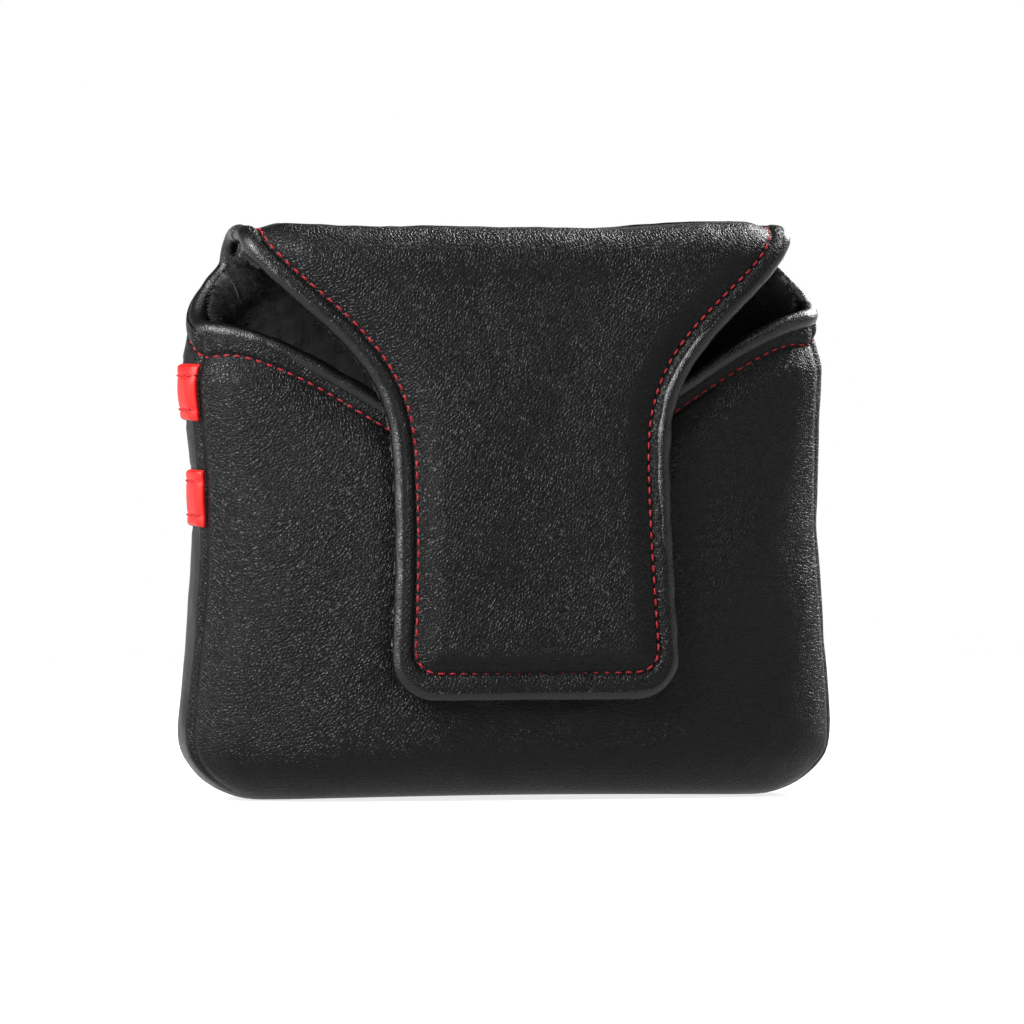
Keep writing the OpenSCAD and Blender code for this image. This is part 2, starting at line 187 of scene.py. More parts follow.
def from_side(u):
    """Angle from the nearer side: above 0 towards the rear, below 0 towards the front."""
    folded = np.where(np.cos(np.radians(u)) >= 0, u, 180 - u)
    return np.degrees(np.arcsin(np.sin(np.radians(folded))))


def edge_z(u):
    """Height of the pouch's upper edge all the way round."""
    side = from_side(u)
    wide = half_w(MOUTH_SIDE_Z)
    at_seam = mouth_z(np.sign(np.cos(np.radians(u))) * wide)
    climb = np.sin(np.pi / 2 * clamp01((side - EAR_U) / (SEAM_U - EAR_U)))
    return np.where(side >= SEAM_U, mouth_z(wide * ring_x(u)), mix(FOLD_Z, at_seam, climb))


def flap_line_x(way, z):
    """The flap's plain edge, where way is 1 at +X and -1 at -X."""
    flare = ease(clamp01((z - FLARE_Z) / (BODY_H - FLARE_Z)) ** FLARE_POWER)
    spread = TONGUE_SPREAD * clamp01((FLARE_Z - z) / (FLARE_Z - TONGUE_END_Z)) ** 2
    return mix(TONGUE_X + way * (TONGUE_HALF + spread), way * FLAP_HALF, flare)


def flap_edge_x(way, z, inset=0.0):
    slope = flap_line_x(way, z + 0.5) - flap_line_x(way, z - 0.5)
    return flap_line_x(way, z) - way * inset * np.sqrt(1 + slope * slope)


def tongue_edge_x(way, z, inset=0.0, end_inset=0.0):
    r = TONGUE_CORNER - inset
    below = np.maximum(0, TONGUE_END_Z + end_inset + r - z)
    round_in = r - np.sqrt(np.maximum(0, r * r - below * below))
    return flap_edge_x(way, z, inset) - way * round_in


def bridge_z(s, depth=0.0):
    """Height over the top: s is 0 to 1 up the front fold, to 2 across, and to 3 down the rear fold."""
    arc = np.where(s <= 1, np.sin(np.pi / 2 * s), np.where(s <= 2, 1.0, np.cos(np.pi / 2 * (s - 2))))
    return FOLD_Z + (FOLD_R - depth) * arc


EAR_X = half_w(FOLD_Z) * ring_x(EAR_U)


def bridge_edge_x(way, s, inset=0.0):
    top_x = flap_edge_x(way, BODY_H, inset)
    front = mix(way * (EAR_X - inset), top_x, np.sin(np.pi / 2 * np.minimum(s, 1)))
    return np.where(s <= 1, front, flap_edge_x(way, bridge_z(s), inset))


def bridge_point(x, s, depth=0.0):
    face = face_y(x, FOLD_Z)
    front_y = FOLD_R - face
    rear_y = face + FLAP_GAP + WALL_T - FOLD_R
    radius = FOLD_R - depth
    y = np.where(
        s <= 1,
        front_y - radius * np.cos(np.pi / 2 * s),
        np.where(s <= 2, mix(front_y, rear_y, s - 1), rear_y + radius * np.sin(np.pi / 2 * (s - 2))),
    )
    return points(x, y + SHIFT_Y, bridge_z(s, depth))


def tongue_point(x, z, depth=0.0):
    return points(x, face_y(x, z) + FLAP_GAP + WALL_T - depth + SHIFT_Y, z)


# ---- Smooth random relief ----


def make_ripple(scale, waves, seed):
    """A smooth random field about 0, of wavelength near scale, as a function of points."""
    source = np.random.default_rng(seed)
    ways = unit(source.normal(size=(waves, 3)))
    ways *= 2 * np.pi / (scale * source.uniform(0.7, 1.5, waves))[:, None]
    phases = source.uniform(0, 2 * np.pi, waves)

    def field(p):
        flat = p.reshape(-1, 3)
        total = np.zeros(len(flat))
        for way, phase in zip(ways, phases):
            total += np.sin(flat @ way + phase)
        return (total / math.sqrt(waves / 2)).reshape(p.shape[:-1])

    return field


broad_ripple = make_ripple(scale=58, waves=9, seed=11)
soft_ripple = make_ripple(scale=21, waves=12, seed=12)
crease_ripple = make_ripple(scale=8, waves=16, seed=13)
roll_ripple = make_ripple(scale=6, waves=12, seed=14)
pile_ripple = make_ripple(scale=3.2, waves=24, seed=15)
tuft_ripple = make_ripple(scale=1.3, waves=30, seed=16)

# ---- Paths of the piping ----

MID_S = 1.5
PATH_STEP = 0.35
BRIDGE_STEPS, RIM_STEPS, TONGUE_STEPS, CORNER_STEPS = 60, 420, 160, 24
JOIN_POINTS, JOIN_GAP = 6, 0.6
MOUTH_ROUNDS, FLAP_ROUNDS = 26, 14
END_POINTS = 30


def path_lengths(path):
    return np.concatenate([[0], np.cumsum(np.linalg.norm(np.diff(path, axis=0), axis=1))])


def at_length(values, lengths, at):
    """What a path's values are at given lengths along it."""
    return np.stack([np.interp(at, lengths, values[:, i]) for i in range(3)], axis=-1)


def even_path(path):
    """The same path at an even spacing."""
    lengths = path_lengths(path)
    count = max(2, int(round(lengths[-1] / PATH_STEP)) + 1)
    return at_length(path, lengths, np.linspace(0, lengths[-1], count))


def smooth_path(path, rounds):
    """The path with its corners rounded; its ends stay put."""
    path = path.copy()
    for _ in range(rounds):
        path[1:-1] = (path[:-2] + 2 * path[1:-1] + path[2:]) / 4
    return path


def mouth_line(drop_at, depth):
    """From mid bridge at +X over the front fold, round the rear mouth, and back to mid bridge at -X."""
    down = np.linspace(MID_S, 0.0, BRIDGE_STEPS)
    u = np.linspace(EAR_U, 180 - EAR_U, RIM_STEPS)
    drop = drop_at(u)
    inset = drop[0]
    first = bridge_point(bridge_edge_x(1, down, inset), down, depth)
    rim = skin(u, edge_z(u) - drop, depth)
    last = bridge_point(bridge_edge_x(-1, down[::-1], inset), down[::-1], depth)
    near = JOIN_GAP + inset
    rim = rim[(path_lengths(rim) > near) & (path_lengths(rim) < path_lengths(rim)[-1] - near)]
    whole = np.concatenate([first[:-JOIN_POINTS], rim, last[JOIN_POINTS:]])
    return smooth_path(even_path(whole), MOUTH_ROUNDS)


def flap_line(inset, end_inset, depth):
    """From mid bridge at +X down the tongue's side, round its end, and back up at -X."""
    low = TONGUE_END_Z + end_inset
    corner_r = TONGUE_CORNER - inset
    over = np.linspace(MID_S, 3.0, BRIDGE_STEPS)
    straight = np.linspace(FOLD_Z, low + TONGUE_CORNER - inset, TONGUE_STEPS)[1:]
    angles = np.radians(np.linspace(0, 90, CORNER_STEPS)[1:])
    down = np.concatenate([straight, low + corner_r * (1 - np.sin(angles))])
    sides = []
    for way in (1, -1):
        bridge = bridge_point(bridge_edge_x(way, over, inset), over, depth)
        tongue = tongue_point(tongue_edge_x(way, down, inset, end_inset), down, depth)
        sides.append(np.concatenate([bridge, tongue]))
    return smooth_path(even_path(np.concatenate([sides[0], sides[1][::-1]])), FLAP_ROUNDS)


mouth_path = mouth_line(np.zeros_like, PIPE_SINK)
flap_path = flap_line(0.0, 0.0, PIPE_SINK)
INDEX, DISTANCE = 1, 2  # places in what a KDTree finds


def nearest(path, what):
    """A function of points that gives the INDEX of the path's nearest point, or the DISTANCE to it."""
    tree = kdtree.KDTree(len(path))
    for i, p in enumerate(path):
        tree.insert(p, i)
    tree.balance()
    return lambda p: np.array([tree.find(q)[what] for q in p.reshape(-1, 3)]).reshape(p.shape[:-1])


def with_ends(path, other):
    return np.concatenate([path, other[:END_POINTS], other[-END_POINTS:]])


mouth_distance = nearest(with_ends(mouth_path, flap_path), DISTANCE)
flap_distance = nearest(with_ends(flap_path, mouth_path), DISTANCE)

# ---- Relief of the leather over its padding, along the outward normal ----

SIDE_STITCH, END_STITCH, END_STITCH_H = 3.0, 4.2, 9.0
HEM_STITCH, HEM_WIDER, HEM_SPREAD = 4.0, 1.8, 11.0


def hem_drop(u):
    """How far the mouth's topstitching runs under its edge: furthest near the side seams."""
    return HEM_STITCH + HEM_WIDER * bump(from_side(u), SEAM_U + 3, HEM_SPREAD)


mouth_stitch_path = mouth_line(hem_drop, 0.0)
stitch_spacing = mouth_distance(mouth_stitch_path)
find_stitch = nearest(mouth_stitch_path, INDEX)


def mouth_stitch_at(p):
    """Distance of the topstitching from the piping, beside each point."""
    return stitch_spacing[find_stitch(p)]


PUFF, PUFF_REACH, PUFF_FAR = 1.5, 6.5, 0.65
HEM_RIDGE, HEM_FROM, STITCH_PULL = 0.42, 0.6, 0.46


def edge_relief(d, stitch, lift):
    """How far the leather stands out at distance d from the piping's centre."""
    beside = lift * bump(d, 1.0, 0.9)
    ridge = HEM_RIDGE * np.sin(np.pi * clamp01((d - HEM_FROM) / (stitch - HEM_FROM)))
    pulled = -STITCH_PULL * bump(d, stitch, 0.5)
    rise = PUFF * ease((d - stitch + HEM_FROM) / PUFF_REACH)
    return beside + ridge + pulled + rise * mix(1.0, PUFF_FAR, ease((d - 10) / 18))


BROAD_WAVE, SOFT_WAVE = 0.42, 0.16
CALM, CALM_H = 0.25, 26.0


def body_relief(p):
    """Gentle unevenness of the padding, calmer towards the underside."""
    uneven = BROAD_WAVE * broad_ripple(p) + SOFT_WAVE * soft_ripple(p)
    return uneven * mix(CALM, 1.0, ease(p[..., 2] / CALM_H))


SEAM_PULL, SEAM_RIDGE, SEAM_RIDGE_Y = 0.55, 0.12, 1.7


def seam_relief(p):
    """A valley along the side seams and the underside's seam, with a low ridge on both sides."""
    side_y = half_d(np.maximum(p[..., 2], CORNER_H)) * ring_y(SEAM_U) + SHIFT_Y
    on_side = clamp01((np.abs(p[..., 0]) - BODY_W / 2 + CORNER_R) / 8)
    beside = np.abs(p[..., 1] - side_y)
    return on_side * (-SEAM_PULL * bump(beside, 0, 0.7) + SEAM_RIDGE * bump(beside, SEAM_RIDGE_Y, 0.8))


STRIPE_PRESS = 0.32


def stripe_groove(p):
    """The leather is pressed down along both edges of each stripe."""
    total = 0.0
    on_face = ease((-p[..., 1] + SHIFT_Y + 4) / 4)
    x = p[..., 0]
    for level, slope, bend in STRIPE_LINES.values():
        way = slope + 2 * bend * x
        off = np.abs(p[..., 2] - level - slope * x - bend * x * x) / np.sqrt(1 + way * way)
        total = total - STRIPE_PRESS * bump(off, STRIPE_W / 2 + 0.3, 0.7)
    return total * on_face


HEM_LIFT, FLAP_LIFT = 0.2, 0.15
FRONT_SAG, SAG_Z, SAG_W = 0.7, 108.0, 6.0
UNDER_PRESS, BESIDE_RISE, BELOW_RISE = 0.6, 0.25, 0.3
FOLD_BAND, BAND_Z, BAND_W = 0.35, 110.0, 4.5
FLAP_WAVE = 0.55


def panel_relief(p):
    """What the front and the rear panel share."""
    return edge_relief(mouth_distance(p), mouth_stitch_at(p), HEM_LIFT) + body_relief(p) + seam_relief(p)


def front_relief(p):
    z = p[..., 2]
    sag = -FRONT_SAG * bump(z, SAG_Z, SAG_W) * ease((58 - np.abs(p[..., 0])) / 30)
    creases = 0.05 * crease_ripple(p) * (1 + ease((20 - z) / 14))
    return panel_relief(p) + creases + sag + stripe_groove(p)


def rear_relief(p):
    """Pressed in under the tongue, and pushed out beside it and below its end."""
    z = p[..., 2]
    from_middle = np.abs(p[..., 0] - TONGUE_X)
    under = ease((TONGUE_HALF + 3 - from_middle) / 5) * ease((z - TONGUE_END_Z + 1) / 5)
    beside = bump(from_middle, TONGUE_HALF + 5, 3.5) * ease((z - TONGUE_END_Z) / 12)
    below = bump(z, TONGUE_END_Z - 4.5, 2.6) * ease((TONGUE_HALF + 6 - from_middle) / 8)
    upright_creases = crease_ripple(p * (1, 1, 0.4))
    pushed = BESIDE_RISE * beside + below * (BELOW_RISE + 0.22 * upright_creases)
    creases = 0.08 * crease_ripple(p) * (0.3 + ease((22 - z) / 14))
    return panel_relief(p) + creases + pushed - UNDER_PRESS * under


def flap_stitch_at(p):
    """Distance of the flap's topstitching from its piping: wider at the tongue's end."""
    return mix(SIDE_STITCH, END_STITCH, ease((TONGUE_END_Z + END_STITCH_H - p[..., 2]) / 6))


def flap_relief(p):
    creases = 0.05 * crease_ripple(p)
    fold_band = -FOLD_BAND * bump(p[..., 2], BAND_Z, BAND_W) * ease((50 - np.abs(p[..., 0])) / 30)
    edge = edge_relief(flap_distance(p), flap_stitch_at(p), FLAP_LIFT)
    return edge + FLAP_WAVE * body_relief(p) + creases + fold_band


EAR_RISE, EAR_RISE_Z = 1.0, 108.0
BASE_HOLLOW, BASE_HALF, BASE_H = 0.9, 58.0, 12.0


def ear_rise(p):
    """Lift of the top fold towards both of its ends."""
    x, z = p[..., 0], p[..., 2]
    return EAR_RISE * (clamp01((np.abs(x) - 16) / 42) ** 2 - 0.55) * ease((z - EAR_RISE_Z) / 12)


def base_rise(p):
    """The underside's middle stands a little higher than its corners."""
    x, z = p[..., 0], p[..., 2]
    return BASE_HOLLOW * (1 - (x / BASE_HALF) ** 2).clip(0, 1) * ease((BASE_H - z) / BASE_H)


def settle(p):
    """Gentle reshaping of the whole object, the same for every piece."""
    moved = p.copy()
    moved[..., 2] += ear_rise(p) + base_rise(p)
    return moved


# ---- Meshes ----


def grid_normals(grid):
    down, across = np.gradient(grid, axis=0), np.gradient(grid, axis=1)
    normal = np.cross(down, across)
    length = np.linalg.norm(normal, axis=-1, keepdims=True)
    return normal / np.maximum(length, 1e-9)


def smooth_normals(normals, rounds):
    for _ in range(rounds):
        wide = np.pad(normals, ((1, 1), (1, 1), (0, 0)), mode="edge")
        down = wide[:-2] + 2 * wide[1:-1] + wide[2:]
        both = down[:, :-2] + 2 * down[:, 1:-1] + down[:, 2:]
        normals = both / np.maximum(np.linalg.norm(both, axis=-1, keepdims=True), 1e-9)
    return normals


def add_to_scene(name, data):
    made = bpy.data.objects.new(name, data)
    bpy.context.scene.collection.objects.link(made)
    return made


def make_object(name, verts, faces, sharp=None):
    """A smooth object; edges with both ends in sharp are shaded as hard ones."""
    mesh = bpy.data.meshes.new(name)
    mesh.vertices.add(len(verts))
    mesh.vertices.foreach_set("co", (verts * MM).ravel())
    sizes = [len(face) for face in faces]
    loops = np.concatenate(faces)
    mesh.loops.add(len(loops))
    mesh.loops.foreach_set("vertex_index", loops)
    mesh.polygons.add(len(sizes))
    mesh.polygons.foreach_set("loop_start", np.cumsum([0, *sizes[:-1]]))
    mesh.polygons.foreach_set("use_smooth", np.ones(len(sizes), bool))
    mesh.update(calc_edges=True)
    mesh.validate()
    if sharp is not None:
        mark_sharp(mesh, sharp)
    return add_to_scene(name, mesh)


def mark_sharp(mesh, rim_verts):
    ends = np.zeros(len(mesh.edges) * 2, int)
    mesh.edges.foreach_get("vertices", ends)
    on_rim = np.isin(ends, rim_verts).reshape(-1, 2).all(axis=1)
    attribute = mesh.attributes.new("sharp_edge", "BOOLEAN", "EDGE")
    attribute.data.foreach_set("value", on_rim)


def shell(outer, inner, kept=None):
    """A closed sheet between two grids; kept says which quads of the grid exist."""
    rows, columns = outer.shape[:2]
    layer = rows * columns
    index = np.arange(layer).reshape(rows, columns)
    if kept is None:
        kept = np.ones((rows - 1, columns - 1), bool)
    corners = (index[:-1, :-1], index[1:, :-1], index[1:, 1:], index[:-1, 1:])
    top = np.stack([corner[kept] for corner in corners], axis=1)
    bottom = top[:, ::-1] + layer
    edges = np.concatenate([top[:, [i, (i + 1) % 4]] for i in range(4)])
    key = edges[:, 0] * layer + edges[:, 1]
    back = edges[:, 1] * layer + edges[:, 0]
    start, end = edges[~np.isin(key, back)].T
    rim = np.stack([end, start, start + layer, end + layer], axis=1)
    verts = np.concatenate([outer.reshape(-1, 3), inner.reshape(-1, 3)])
    faces = np.concatenate([top, bottom, rim])
    used = np.unique(faces)
    remap = np.full(len(verts), -1)
    remap[used] = np.arange(len(used))
    return verts[used], remap[faces], remap[np.unique(rim)]


def circle(sides):
    """Cosines and sines of evenly spaced angles, as two columns."""
    angle = np.linspace(0, 2 * np.pi, sides, endpoint=False)
    return np.cos(angle)[:, None], np.sin(angle)[:, None]


def ring_faces(count, sides):
    """Faces of a closed tube of count rings, with its two end caps."""
    first = np.arange(count * sides).reshape(count, sides)
    a, b = first[:-1], first[1:]
    quads = np.stack([a, b, np.roll(b, -1, axis=1), np.roll(a, -1, axis=1)], axis=-1).reshape(-1, 4)
    return [*quads, first[0], first[-1][::-1]]


TUBE_SIDES = 18
OUTWARD = (0.3, 1.0, 0.0)  # how much x, y and z count in the way out of the pouch


def tube(path, radius, wobble):
    """A closed round tube along a path, uneven by wobble."""
    tangent = unit(np.gradient(path, axis=0))
    out = path * OUTWARD - (0, SHIFT_Y, -0.02)
    up = unit(out - tangent * np.sum(out * tangent, axis=1)[:, None])
    across = np.cross(tangent, up)
    cosine, sine = circle(TUBE_SIDES)
    ring = up[:, None] * cosine + across[:, None] * sine
    size = radius + wobble * roll_ripple(path[:, None] + ring)
    verts = (path[:, None] + ring * size[..., None]).reshape(-1, 3)
    return verts, ring_faces(len(path), TUBE_SIDES)


def join_parts(parts):
    """Several (verts, faces) as one."""
    verts, faces, start = [], [], 0
    for part_verts, part_faces in parts:
        verts.append(part_verts)
        faces.extend([face + start for face in part_faces])
        start += len(part_verts)
    return np.concatenate(verts), faces


# ---- The grids of the three outer surfaces ----


def spaced(low, high, count, near_ends=0.75):
    """Values from low to high, closer together near both ends."""
    t = np.linspace(0, 1, count)
    return mix(low, high, mix(t, (1 - np.cos(np.pi * t)) / 2, near_ends))


def near_high(low, high, count, power=1.35):
    """Values from low to high, closer together near high."""
    t = np.linspace(0, 1, count)
    return mix(low, high, 1 - (1 - t) ** power)


BASE_ROWS, CORNER_ROWS, FRONT_ROWS, REAR_ROWS = 9, 14, 120, 110
EAR_COLUMNS, FACE_COLUMNS, REAR_COLUMNS, FLAP_COLUMNS = 46, 190, 210, 150
FOLD_ROWS, FLAP_TOP_ROWS, TONGUE_ROWS, TONGUE_END_ROWS = 26, 30, 96, 30
TONGUE_END_ANGLE = 88
SAME = 1e-6


def wall_grid(u, top_z, rows):
    """Underside, bottom corner and wall, one column for each angle in u."""
    base = corner_point(u, 0.0)
    middle = points(base[:, 0], BASE_Y, 0.0)
    grid = [mix(middle, base, t) for t in np.linspace(0, 1, BASE_ROWS + 1)[:-1]]
    grid += [corner_point(u, angle) for angle in np.linspace(0, 90, CORNER_ROWS + 1)[:-1]]
    grid += [skin(u, mix(CORNER_H, top_z, t)) for t in near_high(0, 1, rows)]
    return np.array(grid)


def bridge_rows(steps, share):
    """Rows of points across the bridge, each from its -X edge to its +X edge."""
    rows = [bridge_point(mix(bridge_edge_x(-1, s), bridge_edge_x(1, s), share), s) for s in steps]
    return np.array(rows)


ear_columns = np.linspace(180 - SEAM_U, 180 - EAR_U, EAR_COLUMNS)[:-1]
face_columns = spaced(180 - EAR_U, 360 + EAR_U, FACE_COLUMNS, 0.55)
front_u = np.concatenate([ear_columns, face_columns, 360 - ear_columns[::-1] + 180])
is_face = (front_u >= 180 - EAR_U - SAME) & (front_u <= 360 + EAR_U + SAME)
front_wall = wall_grid(front_u, np.where(is_face, FOLD_Z, edge_z(front_u)), FRONT_ROWS)
fold_x = skin(front_u, np.full(len(front_u), FOLD_Z))[:, 0]
fold_share = clamp01((fold_x + EAR_X) / (2 * EAR_X))
fold_rows = bridge_rows(np.linspace(0, MID_S, FOLD_ROWS)[1:], fold_share)
front_grid = np.concatenate([front_wall, fold_rows])
front_kept = np.ones((len(front_grid) - 1, len(front_u) - 1), bool)
front_kept[len(front_wall) - 1 :, ~(is_face[:-1] & is_face[1:])] = False

rear_u = spaced(SEAM_U, 180 - SEAM_U, REAR_COLUMNS, 0.5)
rear_grid = wall_grid(rear_u, edge_z(rear_u), REAR_ROWS)

flap_share = spaced(0, 1, FLAP_COLUMNS, 0.9)
flap_top = bridge_rows(np.linspace(MID_S, 3.0, FLAP_TOP_ROWS), flap_share)
tongue_down = spaced(FOLD_Z, TONGUE_END_Z + TONGUE_CORNER, TONGUE_ROWS, 0.2)[1:]
corner_angles = np.radians(np.linspace(0, TONGUE_END_ANGLE, TONGUE_END_ROWS)[1:])
tongue_down = np.concatenate([tongue_down, TONGUE_END_Z + TONGUE_CORNER * (1 - np.sin(corner_angles))])
tongue_rows = [
    tongue_point(mix(tongue_edge_x(-1, z), tongue_edge_x(1, z), flap_share), z) for z in tongue_down
]
flap_grid = np.concatenate([flap_top, tongue_rows])

WHOLE = (slice(None), slice(None))
FLOOR_CALM_H = 10.0
NORMAL_ROUNDS = 3


class Sheet:
    """An outer surface with its relief, from which leather, foam and plush layers are cut."""

    def __init__(self, grid, relief, normals_of, has_base):
        centre = np.array([0, SHIFT_Y, BODY_H / 2])
        self.flip = np.sum(normals_of(grid) * (grid - centre)) < 0
        self.rest = grid
        self.has_base = has_base
        plain = self.outward(normals_of(grid))
        above_floor = ease(grid[..., 2] / FLOOR_CALM_H)
        self.raised = grid + plain * (relief(grid) * above_floor)[..., None]
        self.normals = self.outward(normals_of(self.raised))

    def outward(self, normals):
        """The normals turned outwards, straight down under the base, and smoothed."""
        facing = -normals if self.flip else normals
        if self.has_base:
            facing[:BASE_ROWS] = (0, 0, -1)
        return smooth_normals(facing, NORMAL_ROUNDS)

    def at_depth(self, depth, part=WHOLE):
        return self.raised[part] - self.normals[part] * depth

    def layer(self, name, low, high, part=WHOLE, kept=None, inner_relief=None):
        """A closed layer between two depths, with relief on its inner side if asked."""
        outer = self.at_depth(low, part)
        inner = self.at_depth(high, part)
        if inner_relief is not None:
            inner = inner - self.normals[part] * inner_relief(inner)[..., None]
        outer, inner = settle(outer), settle(inner)
        sides = (inner, outer) if self.flip else (outer, inner)
        verts, faces, rim = shell(*sides, kept)
        return make_object(name, verts, faces, rim)


def front_normals(grid):
    """Normals of the front, whose side columns end at the wall's last row."""
    normals = grid_normals(grid)
    wall = len(front_wall)
    normals[wall - 1 :, is_face] = grid_normals(grid[:, is_face])[wall - 1 :]
    normals[:wall, ~is_face] = grid_normals(grid[:wall])[:, ~is_face]
    normals[wall:, ~is_face] = 0
    return normals


front = Sheet(front_grid, front_relief, front_normals, True)
rear = Sheet(rear_grid, rear_relief, grid_normals, True)
flap = Sheet(flap_grid, flap_relief, grid_normals, False)

front_leather = front.layer("leather_front", 0.0, LEATHER_T, kept=front_kept)
rear_leather = rear.layer("leather_rear", 0.0, LEATHER_T)
flap_leather = flap.layer("leather_flap", 0.0, LEATHER_T)

# ---- Look ----


def linear(level):
    """One sRGB channel from 0 to 255, as linear light."""
    share = level / 255
    return share / 12.92 if share <= 0.04045 else ((share + 0.055) / 1.055) ** 2.4


def srgb(*rgb):
    return tuple(linear(level) for level in rgb)


def new_material(name):
    material = bpy.data.materials.new(name)
    material.use_nodes = True
    tree = material.node_tree
    return material, tree, tree.nodes["Principled BSDF"]


def add_node(tree, kind, **settings):
    """A node with its inputs, or its own properties, set by name."""
    node = tree.nodes.new(kind)
    for key, value in settings.items():
        if key in node.inputs:
            node.inputs[key].default_value = value
        else:
            setattr(node, key, value)
    return node


def set_inputs(tree, shader, **settings):
    """Sets the shader's inputs, with _ for a space: a socket is linked and a value is set."""
    for key, value in settings.items():
        socket = shader.inputs[key.replace("_", " ")]
        if isinstance(value, bpy.types.NodeSocket):
            tree.links.new(value, socket)
        else:
            socket.default_value = value


def object_coords(tree):
    return add_node(tree, "ShaderNodeTexCoord").outputs["Object"]


def noise(tree, where, scale, detail=3.0, roughness=0.5, output="Fac"):
    node = add_node(tree, "ShaderNodeTexNoise", Scale=scale, Detail=detail, Roughness=roughness)
    tree.links.new(where, node.inputs["Vector"])
    return node.outputs[output]


def voronoi(tree, where, scale, feature="F1"):
    node = add_node(tree, "ShaderNodeTexVoronoi", Scale=scale, feature=feature)
    tree.links.new(where, node.inputs["Vector"])
    return node.outputs["Distance"]


def strands(tree, where, scale, distortion):
    node = add_node(tree, "ShaderNodeTexWave", Scale=scale, Distortion=distortion)
    tree.links.new(where, node.inputs["Vector"])
    return node.outputs["Fac"]


def ramp(tree, value, low, high, from_low=0.0, from_high=1.0):
    """A value's range from_low to from_high, turned into low to high."""
    node = add_node(tree, "ShaderNodeMapRange")
    tree.links.new(value, node.inputs["Value"])
    node.inputs["From Min"].default_value = from_low
    node.inputs["From Max"].default_value = from_high
    node.inputs["To Min"].default_value = low
    node.inputs["To Max"].default_value = high
    return node.outputs["Result"]


def blend_colours(tree, share, first, second):
    node = add_node(tree, "ShaderNodeMix", data_type="RGBA")
    tree.links.new(share, node.inputs["Factor"])
    node.inputs["A"].default_value = (*first, 1)
    node.inputs["B"].default_value = (*second, 1)
    return node.outputs["Result"]


def add_weighted(tree, first, second, weight):
    """first + second * weight."""
    node = add_node(tree, "ShaderNodeMath", operation="MULTIPLY_ADD")
    tree.links.new(second, node.inputs[0])
    node.inputs[1].default_value = weight
    tree.links.new(first, node.inputs[2])
    return node.outputs["Value"]


def add_bump(tree, shader, height, strength, distance):
    node = add_node(tree, "ShaderNodeBump", Strength=strength, Distance=distance)
    tree.links.new(height, node.inputs["Height"])
    tree.links.new(node.outputs["Normal"], shader.inputs["Normal"])


def leather_material(name, dark, light, rough, grain, relief, specular):
    """Pebble-grained leather with painted shade in the grain's valleys; grain is the pebbles' scale per metre
    and relief their height in metres.
    """
    material, tree, shader = new_material(name)
    where = object_coords(tree)
    warped = add_node(tree, "ShaderNodeVectorMath", operation="MULTIPLY_ADD")
    tree.links.new(noise(tree, where, grain * 0.6, 1.0, output="Color"), warped.inputs[0])
    warped.inputs[1].default_value = (0.5 / grain,) * 3
    tree.links.new(where, warped.inputs[2])
    creases = voronoi(tree, warped.outputs["Vector"], grain, "DISTANCE_TO_EDGE")
    pebbles = ramp(tree, creases, 0.0, 1.0, 0.0, 0.22)
    fine = noise(tree, where, grain * 2.6, 2.0, 0.6)
    patchy = noise(tree, where, 34, 3.0, 0.55)
    add_bump(tree, shader, add_weighted(tree, pebbles, fine, 0.35), 1.0, relief)
    # Base colour: darker in the valleys between the pebbles, which is painted shade of the grain's relief,
    # plus random patches of tone.
    valley_shade_and_tone = ramp(tree, add_weighted(tree, pebbles, patchy, 0.6), 0.0, 1.0, 0.2, 1.3)
    worn = ramp(tree, add_weighted(tree, patchy, pebbles, -0.5), *rough, -0.25, 0.6)
    colour = blend_colours(tree, valley_shade_and_tone, dark, light)
    set_inputs(tree, shader, Base_Color=colour, Roughness=worn, Specular_IOR_Level=specular)
    return material


black_leather = leather_material(
    "black_leather", srgb(2, 2, 2), srgb(6, 6, 7), rough=(0.28, 0.42), grain=1500, relief=9e-5, specular=0.115
)
roll_leather = leather_material(
    "roll_leather", srgb(2, 2, 3), srgb(5, 5, 6), rough=(0.23, 0.32), grain=2100, relief=3e-5, specular=0.28
)


def stripe_material():
    material, tree, shader = new_material("stripe_leather")
    where = object_coords(tree)
    patchy = noise(tree, where, 45, 3.0)
    add_bump(tree, shader, voronoi(tree, where, 1800, "SMOOTH_F1"), 0.8, 0.00002)
    colour = blend_colours(tree, patchy, srgb(150, 11, 8), srgb(164, 16, 11))
    rough = ramp(tree, patchy, 0.42, 0.56, 0.3, 0.7)
    set_inputs(tree, shader, Base_Color=colour, Roughness=rough, Specular_IOR_Level=0.2)
    return material


def thread_material(name, dark, light):
    material, tree, shader = new_material(name)
    where = object_coords(tree)
    add_bump(tree, shader, strands(tree, where, 900, 1.5), 0.9, 0.00008)
    colour = blend_colours(tree, noise(tree, where, 500, 2.0), dark, light)
    set_inputs(tree, shader, Base_Color=colour, Roughness=0.62, Specular_IOR_Level=0.2)
    return material


def plush_material():
    material, tree, shader = new_material("plush")
    where = object_coords(tree)
    patchy = noise(tree, where, 160, 3.0, 0.6)
    add_bump(tree, shader, noise(tree, where, 700, 4.0, 0.7), 1.0, 0.0005)
    colour = blend_colours(tree, patchy, srgb(8, 8, 9), srgb(34, 34, 36))
    set_inputs(tree, shader, Base_Color=colour, Roughness=ramp(tree, patchy, 0.85, 1.0))
    set_inputs(tree, shader, Sheen_Weight=0.12, Sheen_Roughness=0.5, Specular_IOR_Level=0.08)
    return material


def foam_material():
    material, tree, shader = new_material("foam")
    where = object_coords(tree)
    pores = voronoi(tree, where, 1300)
    add_bump(tree, shader, pores, 0.8, 0.0003)
    colour = blend_colours(tree, noise(tree, where, 90), srgb(120, 120, 122), srgb(160, 160, 158))
    set_inputs(tree, shader, Base_Color=colour, Roughness=ramp(tree, pores, 0.85, 1.0))
    return material


